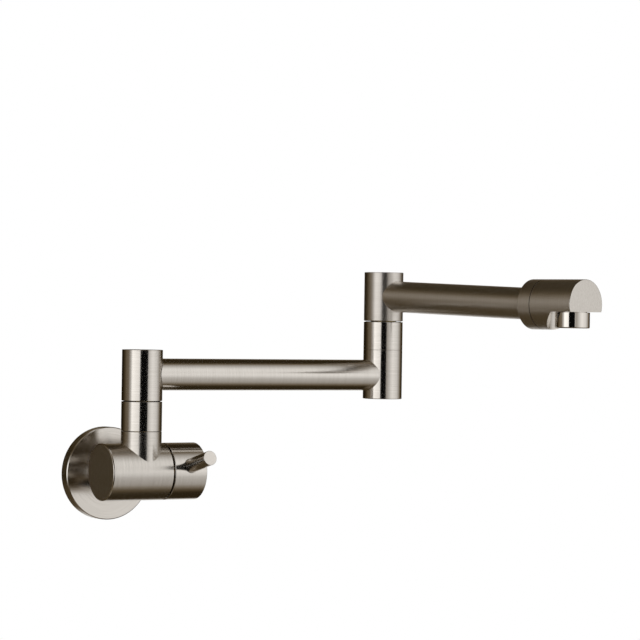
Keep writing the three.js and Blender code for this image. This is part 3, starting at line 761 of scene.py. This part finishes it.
knob = turned("turning_knob", [
    (0.0, knob_end, 0.0), (stem_bore, knob_end, 0.0), (stem_bore, knob_step, 0.0),
    (knob_hollow, knob_step, 0.3), (knob_hollow, knob_low, 0.3),
    (barrel_radius, knob_low, 0.45), (barrel_radius, knob_high, 0.6), (0.0, knob_high, 0.0),
], steps=256)
coat(knob, nickel_round, nickel_faced, 0.99)
stand(knob, valve_centre, (1.0, 0.0, 0.0))
seat = turned("seat", [
    (0.0, seat_floor, 0.0), (seat_radius, seat_floor, 0.0),
    (seat_radius, outside_knob, 0.0), (0.0, outside_knob, 0.0),
])
coat(seat, nickel_round)
lever_foot = Vector((lever_at * mm, barrel_y, barrel_z))
machine(knob, stand(seat, lever_foot, lever_way))
thread = turned("thread", [
    (0.0, thread_hole_floor, 0.0), (thread_hole_radius, thread_hole_floor, 0.0),
    (thread_hole_radius, thread_hole_top, 0.0), (0.0, thread_hole_top, 0.0),
])
coat(thread, nickel_round)
machine(knob, stand(thread, lever_foot, lever_way))
screw_low, screw_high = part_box("knob_set_screw")
screw_foot = Vector(((screw_low.x + screw_high.x) / 2, barrel_y, barrel_z))
screw_hole = turned("screw_hole", [
    (0.0, screw_hole_floor, 0.0), (screw_hole_radius, screw_hole_floor, 0.0),
    (screw_hole_radius, outside_knob, 0.0), (0.0, outside_knob, 0.0),
])
coat(screw_hole, nickel_round)
machine(knob, stand(screw_hole, screw_foot, -lever_way))
smooth(knob)
belongs(knob, "knob", "brushed_nickel", "knob_shell")

lever = turned("lever_rod", [
    (0.0, lever_thread_end, 0.0), (lever_thread_radius, lever_thread_end, 0.3),
    (lever_thread_radius, lever_shoulder, 0.0), (lever_radius, lever_shoulder, 0.15),
    (lever_radius, lever_reach, 0.35), (0.0, lever_reach, 0.0),
], steps=96)
coat(lever, nickel_rod, nickel_faced)
stand(lever, lever_foot, lever_way)
smooth(lever)
belongs(lever, "knob", "brushed_nickel", "lever_pin")

# ---------------------------------------------------------------------------------------
# Swivels. Under each turning sleeve stands a plain collar, and an open seam shows between
# them. The sleeve is closed above by a flush cap. All are turned and brushed.

collar_bore = 12.7
nickel_satin = brushed_nickel(
    "nickel_satin_round", "Z", roughness=0.31, stretched=0.3, ridge=0.03)


def column_ring(name, node, body, bore, seam_edge):
    low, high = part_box(node)
    centre = (low + high) / 2
    height = (high.z - low.z) / mm
    ring = turned(name, [
        (bore, 0.0, 0.0), (column_radius, 0.0, 0.12), (column_radius, height, seam_edge),
        (bore, height, 0.2),
    ], closed=True)
    coat(ring, nickel_round, nickel_faced)
    stand(ring, (centre.x, centre.y, low.z), (0.0, 0.0, 1.0))
    smooth(ring)
    belongs(ring, body, "brushed_nickel", node)


column_ring("swivel_collar_1", "collar_1", "valve", collar_bore, 0.2)
column_ring("swivel_collar_2", "collar_2", "arm_1", collar_bore, 0.35)

sleeve_bore = 9.5
cap_room = 12.2
cap_room_depth = 6.0


def turning_sleeve(name, node, cap_node, body, nickel, seam_edge):
    axis = (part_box(cap_node)[0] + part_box(cap_node)[1]) / 2
    low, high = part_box(node)
    height = (high.z - low.z) / mm
    sleeve = turned(name, [
        (sleeve_bore, 0.0, 0.2), (column_radius, 0.0, seam_edge), (column_radius, height, 0.3),
        (cap_room, height, 0.15), (cap_room, height - cap_room_depth, 0.0),
        (sleeve_bore, height - cap_room_depth, 0.0),
    ], closed=True)
    coat(sleeve, nickel, nickel_faced)
    stand(sleeve, (axis.x, axis.y, low.z), (0.0, 0.0, 1.0))
    smooth(sleeve)
    belongs(sleeve, body, "brushed_nickel", node)
    cap_low, cap_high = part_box(cap_node)
    cap_radius = (cap_high.x - cap_low.x) / 2 / mm
    cap_height = (cap_high.z - cap_low.z) / mm
    cap = turned(name + "_cap", [
        (0.0, 0.0, 0.0), (cap_radius, 0.0, 0.2), (cap_radius, cap_height, 0.25),
        (0.0, cap_height, 0.0),
    ])
    coat(cap, nickel, nickel_turned)
    stand(cap, (axis.x, axis.y, cap_low.z), (0.0, 0.0, 1.0))
    smooth(cap)
    belongs(cap, body, "brushed_nickel", cap_node)


turning_sleeve("first_sleeve", "carrier_1", "top_cap_1", "arm_1", nickel_round, 0.25)
turning_sleeve("second_sleeve", "carrier_3", "top_cap_2", "arm_2", nickel_satin, 0.5)

end_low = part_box("carrier_2")[0]
collar_low, collar_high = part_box("collar_2")
end_axis = (collar_low + collar_high) / 2
end_height = (collar_low.z - end_low.z) / mm - 0.08     # a hair below the collar
end_floor = 8.0
end_sleeve = turned("end_sleeve", [
    (0.0, 0.0, 0.0), (column_radius, 0.0, 0.5), (column_radius, end_height, 0.12),
    (post_bore, end_height, 0.2), (post_bore, end_floor, 0.0), (0.0, end_floor, 0.0),
])
coat(end_sleeve, nickel_round, nickel_faced)
stand(end_sleeve, (end_axis.x, end_axis.y, end_low.z), (0.0, 0.0, 1.0))
smooth(end_sleeve)
belongs(end_sleeve, "arm_1", "brushed_nickel", "carrier_2")

# ---------------------------------------------------------------------------------------
# Arms. Two straight drawn tubes, brushed round, with their ends coped to the sleeves and
# brazed there without a bead. The second falls a little towards the spout.

tube_radius = 11.0
tube_bore = 9.0
cope_gap = 0.03
cope_edge = 0.6                         # the tube's end is eased, which leaves a fine groove


def coped_tube(name, nickel, length, first_cope, last_cope):
    """Tube along its own Z from the axis of one sleeve to length, coped where asked."""
    piece = turned(name, [
        (tube_bore, 0.0, 0.0), (tube_radius, 0.0, cope_edge), (tube_radius, length, cope_edge),
        (tube_bore, length, 0.0),
    ], closed=True, steps=192)
    meets = column_radius + cope_gap
    for vertex in piece.data.vertices:
        reach = math.sqrt(meets ** 2 - (vertex.co.y / mm) ** 2) * mm
        if vertex.co.z < length * mm / 2:
            if first_cope:
                vertex.co.z += reach
        elif last_cope:
            vertex.co.z -= reach
    return coat(piece, nickel)


# Turns a piece that stands along Z so that it lies along X.
lying = Matrix(((0, 0, 1, 0), (0, 1, 0, 0), (-1, 0, 0, 0), (0, 0, 0, 1)))

arm_one_height = (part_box("arm_tube_1")[0].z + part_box("arm_tube_1")[1].z) / 2
arm_one_span = (end_axis.x - riser_foot.x) / mm
arm_one = coped_tube("first_arm", nickel_round, arm_one_span, True, True)
arm_one.matrix_world = (
    Matrix.Translation((riser_foot.x, riser_y, arm_one_height)) @ lying
)
smooth(arm_one)
belongs(arm_one, "arm_1", "brushed_nickel", "arm_tube_1")

arm_two_turn = math.radians(-76.0)
arm_two_fall = math.radians(1.85)
arm_two_tube_end = 154.1                # swivel axis to the tube's end in the head
arm_two_rise = 18.0                     # second sleeve's foot to the arm's axis
arm_two_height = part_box("carrier_3")[0].z + arm_two_rise * mm
arm_two = coped_tube("second_arm", nickel_satin, arm_two_tube_end, True, False)
arm_two_place = (
    Matrix.Translation((end_axis.x, end_axis.y, arm_two_height))
    @ Matrix.Rotation(arm_two_turn, 4, "Z")
)
arm_two.matrix_world = arm_two_place @ Matrix.Rotation(arm_two_fall, 4, "Y") @ lying
smooth(arm_two)
belongs(arm_two, "arm_2", "brushed_nickel", "arm_tube_2")

# ---------------------------------------------------------------------------------------
# Spout head. A thick turned end with square shoulders and a fine line turned round it. A
# flat and a round pocket are milled away below it, for the aerator.

# The faces of the fine line are painted near black: painted shade in the groove, where little
# light reaches.
painted_shade_line = bpy.data.materials.new("painted_shade_in_line")
painted_shade_line.use_nodes = True
line_shade_shader = painted_shade_line.node_tree.nodes["Principled BSDF"]
line_shade_shader.inputs["Base Color"].default_value = (0.030, 0.026, 0.022, 1.0)
line_shade_shader.inputs["Roughness"].default_value = 0.7

head_low, head_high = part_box("spout_head")
head_radius = (head_high.z - head_low.z) / 2 / mm
head_height = (head_high.z + head_low.z) / 2
head_reach = 189.2                      # swivel axis to the head's end face
head_length = 46.8
head_line = head_reach - 36.0           # swivel axis to the fine line
line_half = 0.3
line_floor = head_radius - 0.5
aerator_low, aerator_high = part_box("aerator_housing")
aerator_centre = (aerator_low + aerator_high) / 2
aerator_radius = 11.8
aerator_at = head_reach - aerator_radius
notch_drop = 4.9
notch_radius = 17.3
pocket_foot = -head_radius - 3.0        # well below the head
mouth_length = 0.040
mouth_width = 0.044
mouth_depth = 0.020
tube_room_radius = tube_radius + 0.05

head = turned("spout_head_bar", [
    (0.0, head_reach - head_length, 0.0), (head_radius, head_reach - head_length, 0.4),
    (head_radius, head_line - line_half, 0.0), (line_floor, head_line - line_half, 0.0),
    (line_floor, head_line + line_half, 0.0), (head_radius, head_line + line_half, 0.0),
    (head_radius, head_reach, 0.5), (0.0, head_reach, 0.0),
], steps=256)
coat(head, nickel_satin, nickel_faced)
in_line = len(head.data.materials)
head.data.materials.append(painted_shade_line)
# Painted shade: every face inside the fine line gets the near-black material.
for polygon in head.data.polygons:
    if abs(polygon.center.z / mm - head_line) < line_half + 0.01:
        polygon.material_index = in_line
head_place = (
    Matrix.Translation((end_axis.x, end_axis.y, head_height))
    @ Matrix.Rotation(arm_two_turn, 4, "Z")
)
head.matrix_world = head_place @ lying
bpy.context.view_layer.update()

pocket = turned("pocket", [
    (0.0, pocket_foot, 0.0), (notch_radius, pocket_foot, 0.0),
    (notch_radius, -notch_drop, 0.0), (0.0, -notch_drop, 0.0),
], steps=192)
coat(pocket, nickel_round, nickel_faced)
pocket.matrix_world = head_place @ Matrix.Translation((aerator_at * mm, 0.0, 0.0))
bpy.context.view_layer.update()
machine(head, pocket)
mouth_mesh = bpy.data.meshes.new("mouth")
block = bmesh.new()
bmesh.ops.create_cube(block, size=1.0)
bmesh.ops.scale(block, vec=(mouth_length, mouth_width, mouth_depth), verts=block.verts)
bmesh.ops.translate(
    block, vec=(mouth_length / 2, 0.0, -mouth_depth / 2 - notch_drop * mm), verts=block.verts)
block.to_mesh(mouth_mesh)
block.free()
mouth_mesh.materials.append(nickel_faced)
mouth = bpy.data.objects.new("mouth", mouth_mesh)
bpy.context.scene.collection.objects.link(mouth)
mouth.matrix_world = head_place @ Matrix.Translation((aerator_at * mm, 0.0, 0.0))
bpy.context.view_layer.update()
machine(head, mouth)
tube_room = turned("tube_room", [
    (0.0, 0.0, 0.0), (tube_room_radius, 0.0, 0.0),
    (tube_room_radius, arm_two_tube_end + 0.1, 0.0), (0.0, arm_two_tube_end + 0.1, 0.0),
])
coat(tube_room, nickel_round)
tube_room.matrix_world = arm_two_place @ Matrix.Rotation(arm_two_fall, 4, "Y") @ lying
bpy.context.view_layer.update()
machine(head, tube_room)
smooth(head)
belongs(head, "arm_2", "brushed_nickel", "spout_head")

# ---------------------------------------------------------------------------------------
# Aerator. A plain ring in polished nickel plate, screwed up into the head. The white flow
# straightener that it holds is finished with the inner pieces.

polish = bpy.data.materials.new("nickel_polished")
polish.use_nodes = True
polish_shader = polish.node_tree.nodes["Principled BSDF"]
polish_shader.inputs["Base Color"].default_value = (0.83, 0.80, 0.76, 1.0)
polish_shader.inputs["Metallic"].default_value = 1.0
polish_shader.inputs["Roughness"].default_value = 0.08

aerator_height = (aerator_high.z - aerator_low.z) / mm
aerator_bore = 8.6
aerator_thread = 10.0                   # radius of the part that screws into the head
aerator_shoulder = aerator_height - 3.9
aerator = turned("aerator_ring", [
    (aerator_bore, 0.0, 0.3), (aerator_radius, 0.0, 0.9),
    (aerator_radius, aerator_shoulder, 0.2), (aerator_thread, aerator_shoulder, 0.0),
    (aerator_thread, aerator_height, 0.2), (aerator_bore, aerator_height, 0.2),
], closed=True)
coat(aerator, polish)
stand(aerator, (aerator_centre.x, aerator_centre.y, aerator_low.z), (0.0, 0.0, 1.0))
smooth(aerator)
belongs(aerator, "arm_2", "polished_nickel", "aerator_housing")

# ---------------------------------------------------------------------------------------
# Inlet nipple. A turned brass pipe stub with a half inch thread, screwed into the neck and
# into the elbow in the wall. The whole tap hangs on it.

speckle_fineness = 900.0                # per metre
speckle_shade = 0.88


def plain(name, colour, roughness, metallic=0.0):
    material = bpy.data.materials.new(name)
    material.use_nodes = True
    nodes = material.node_tree.nodes
    links = material.node_tree.links
    shader = nodes["Principled BSDF"]
    shader.inputs["Metallic"].default_value = metallic
    shader.inputs["Roughness"].default_value = roughness
    speckle = nodes.new("ShaderNodeTexNoise")
    speckle.inputs["Scale"].default_value = speckle_fineness
    place = nodes.new("ShaderNodeTexCoord")
    links.new(place.outputs["Object"], speckle.inputs["Vector"])
    tint = nodes.new("ShaderNodeMix")
    tint.data_type = "RGBA"
    tint.inputs["A"].default_value = (*(speckle_shade * part for part in colour), 1.0)
    tint.inputs["B"].default_value = (*colour, 1.0)
    links.new(speckle.outputs[0], tint.inputs["Factor"])
    links.new(tint.outputs["Result"], shader.inputs["Base Color"])
    return material


brass = plain("brass_turned", (0.78, 0.60, 0.28), 0.28, 1.0)

thread_pitch = 1.81
thread_depth = 1.0
nipple_low, nipple_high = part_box("inlet_nipple")
nipple_radius = (nipple_high.x - nipple_low.x) / 2 / mm
nipple_length = (nipple_high.y - nipple_low.y) / mm
nipple_bore = 6.5
nipple_sides = 72
rings_per_pitch = 6
flank_slope = 2.4
crest_share = 0.1
nipple_mesh = bpy.data.meshes.new("inlet_nipple_threaded")
nipple_shape = bmesh.new()


def nipple_ring(height, radius_at):
    return [
        nipple_shape.verts.new((
            radius_at(i) * mm * math.cos(2 * math.pi * i / nipple_sides),
            radius_at(i) * mm * math.sin(2 * math.pi * i / nipple_sides),
            height * mm,
        ))
        for i in range(nipple_sides)
    ]


def thread_radius(height):
    """Radius round the nipple at a height, which winds up it and runs out at both ends."""
    run_out = 1.0 - min(1.0, min(height, nipple_length - height) / thread_pitch)

    def radius_at(i):
        turn = (height / thread_pitch - i / nipple_sides) % 1.0
        flank = min(1.0, max(0.0, flank_slope * abs(turn - 0.5) - crest_share))
        return nipple_radius - thread_depth * max(flank, run_out)

    return radius_at


thread_rings = round(rings_per_pitch * nipple_length / thread_pitch)
rings = [nipple_ring(0.0, lambda i: nipple_bore)]
for step in range(thread_rings + 1):
    height = nipple_length * step / thread_rings
    rings.append(nipple_ring(height, thread_radius(height)))
rings.append(nipple_ring(nipple_length, lambda i: nipple_bore))
for low, high in zip(rings, rings[1:] + rings[:1]):
    for i in range(nipple_sides):
        j = (i + 1) % nipple_sides
        nipple_shape.faces.new((low[i], low[j], high[j], high[i]))
bmesh.ops.recalc_face_normals(nipple_shape, faces=nipple_shape.faces[:])
nipple_shape.to_mesh(nipple_mesh)
nipple_shape.free()
nipple_mesh.materials.append(brass)
nipple = bpy.data.objects.new("inlet_nipple_threaded", nipple_mesh)
bpy.context.scene.collection.objects.link(nipple)
stand(nipple, (0.0, nipple_low.y, (nipple_low.z + nipple_high.z) / 2), (0.0, 1.0, 0.0))
smooth(nipple, 50.0)
belongs(nipple, "valve", "brass", "inlet_nipple")

# ---------------------------------------------------------------------------------------
# Inner pieces. Brass, stainless, rubber, ceramic and plastic parts, which keep the shapes
# of the frame and only get their finish here.

inner_finishes = {
    "brass": brass,
    "stainless": plain("stainless_turned", (0.62, 0.62, 0.61), 0.24, 1.0),
    "rubber": plain("black_rubber", (0.018, 0.018, 0.019), 0.6),
    "ceramic": plain("white_ceramic", (0.85, 0.84, 0.80), 0.2),
    "white_plastic": plain("white_plastic", (0.80, 0.81, 0.80), 0.4),
    "black_plastic": plain("black_plastic", (0.012, 0.012, 0.013), 0.5),
}

for subpart in frame["record"]["subparts"]:
    node = frame["nodes"][subpart["node"]]
    finish = inner_finishes.get(subpart.get("material_slot"))
    if finish is not None and not node.hide_render:
        node.data.materials.clear()
        node.data.materials.append(finish)
